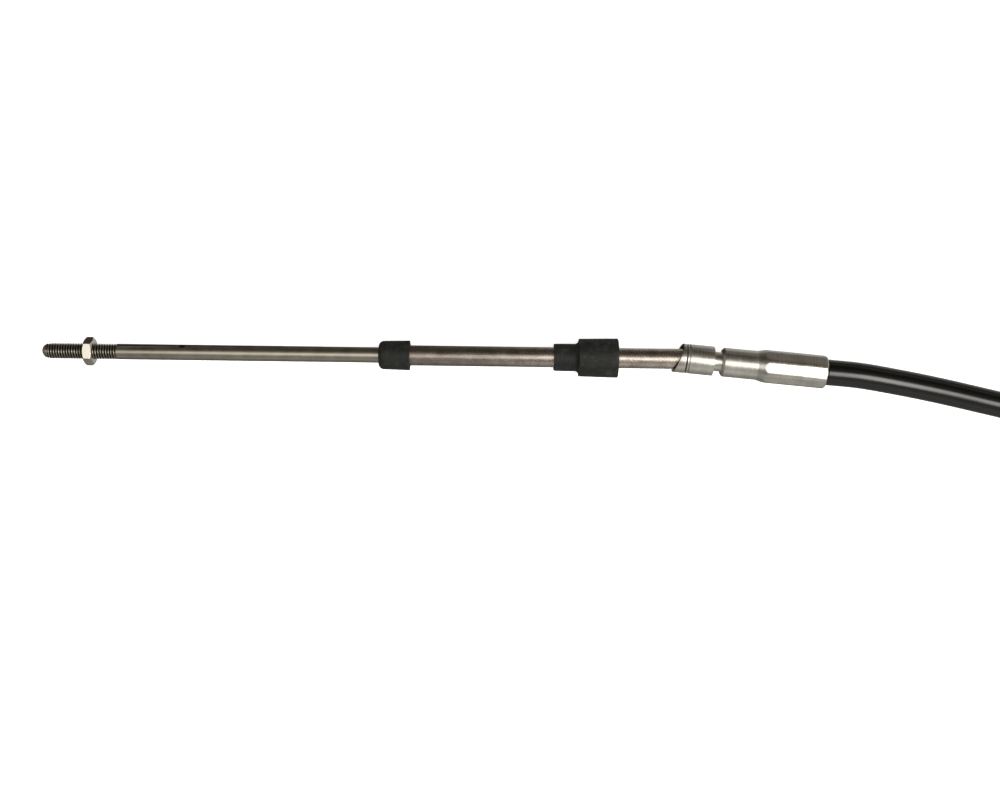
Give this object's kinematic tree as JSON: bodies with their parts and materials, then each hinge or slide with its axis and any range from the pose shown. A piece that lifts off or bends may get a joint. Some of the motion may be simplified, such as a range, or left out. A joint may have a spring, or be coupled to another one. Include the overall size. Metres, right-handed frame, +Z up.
{
  "type": "boat control cable",
  "caption": "Push-pull control cable: a black jacketed conduit with a steel hub, swivelling sleeve, sliding threaded rod, lock nut and rubber boots on each end.",
  "frame": {"origin": "on the floor under the middle of the box around the two end fittings", "axes": "+X along the cable from end A to end B, +Y across it, +Z up from the floor it lies on"},
  "size_m": [0.6062, 0.0479, 0.0121],
  "materials": {
    "hub_steel": "turned, bright zinc",
    "sleeve_steel": "drawn, satin",
    "rod_steel": "ground, satin",
    "nut_steel": "bright",
    "seal_rubber": "matt",
    "boot_rubber": "matt",
    "jacket": "semi-gloss"
  },
  "bodies": {
    "cable": {"hub_a": "hub_steel", "conduit": "jacket", "hub_b": "hub_steel"},
    "sleeve_a": {"sleeve_tube_a": "sleeve_steel", "front_seal_a": "seal_rubber"},
    "boot_a": {"rear_boot_a": "boot_rubber"},
    "rod_a": {"rod_a": "rod_steel"},
    "nut_a": {"lock_nut_a": "nut_steel"},
    "sleeve_b": {"sleeve_tube_b": "sleeve_steel", "front_seal_b": "seal_rubber"},
    "boot_b": {"rear_boot_b": "boot_rubber"},
    "rod_b": {"rod_b": "rod_steel"},
    "nut_b": {"lock_nut_b": "nut_steel"}
  },
  "joints": [
    {"name": "swivel_a", "type": "hinge", "parent": "cable", "child": "sleeve_a", "pos_m": [-0.10443, 0.01694, 0.00603], "axis": [0, 0, 1], "range_deg": [-12.85, 3.15]},
    {"name": "rod_a_slide", "type": "slide", "parent": "sleeve_a", "child": "rod_a", "axis": [-0.9999, 0.0131, 0], "range_m": [-0.0762, 0]},
    {"name": "boot_a_slide", "type": "slide", "parent": "sleeve_a", "child": "boot_a", "axis": [-0.9999, 0.0131, 0], "range_m": [-0.0145, 0.043]},
    {"name": "nut_a_turn", "type": "hinge", "parent": "rod_a", "child": "nut_a", "pos_m": [-0.29002, 0.01938, 0.00603], "axis": [-0.9999, 0.0131, 0], "continuous": true},
    {"name": "swivel_b", "type": "hinge", "parent": "cable", "child": "sleeve_b", "pos_m": [0.18065, -0.01664, 0.00603], "axis": [0, 0, 1], "range_deg": [-8, 8]},
    {"name": "rod_b_slide", "type": "slide", "parent": "sleeve_b", "child": "rod_b", "axis": [0.9996, -0.0282, 0], "range_m": [0, 0.0762]},
    {"name": "boot_b_slide", "type": "slide", "parent": "sleeve_b", "child": "boot_b", "axis": [0.9996, -0.0282, 0], "range_m": [-0.0145, 0.043]},
    {"name": "nut_b_turn", "type": "hinge", "parent": "rod_b", "child": "nut_b", "pos_m": [0.29001, -0.01973, 0.00603], "axis": [0.9996, -0.0282, 0], "continuous": true}
  ],
  "couplings": [
    {"joint": "rod_b_slide", "follows": "rod_a_slide", "ratio": -1}
  ]
}
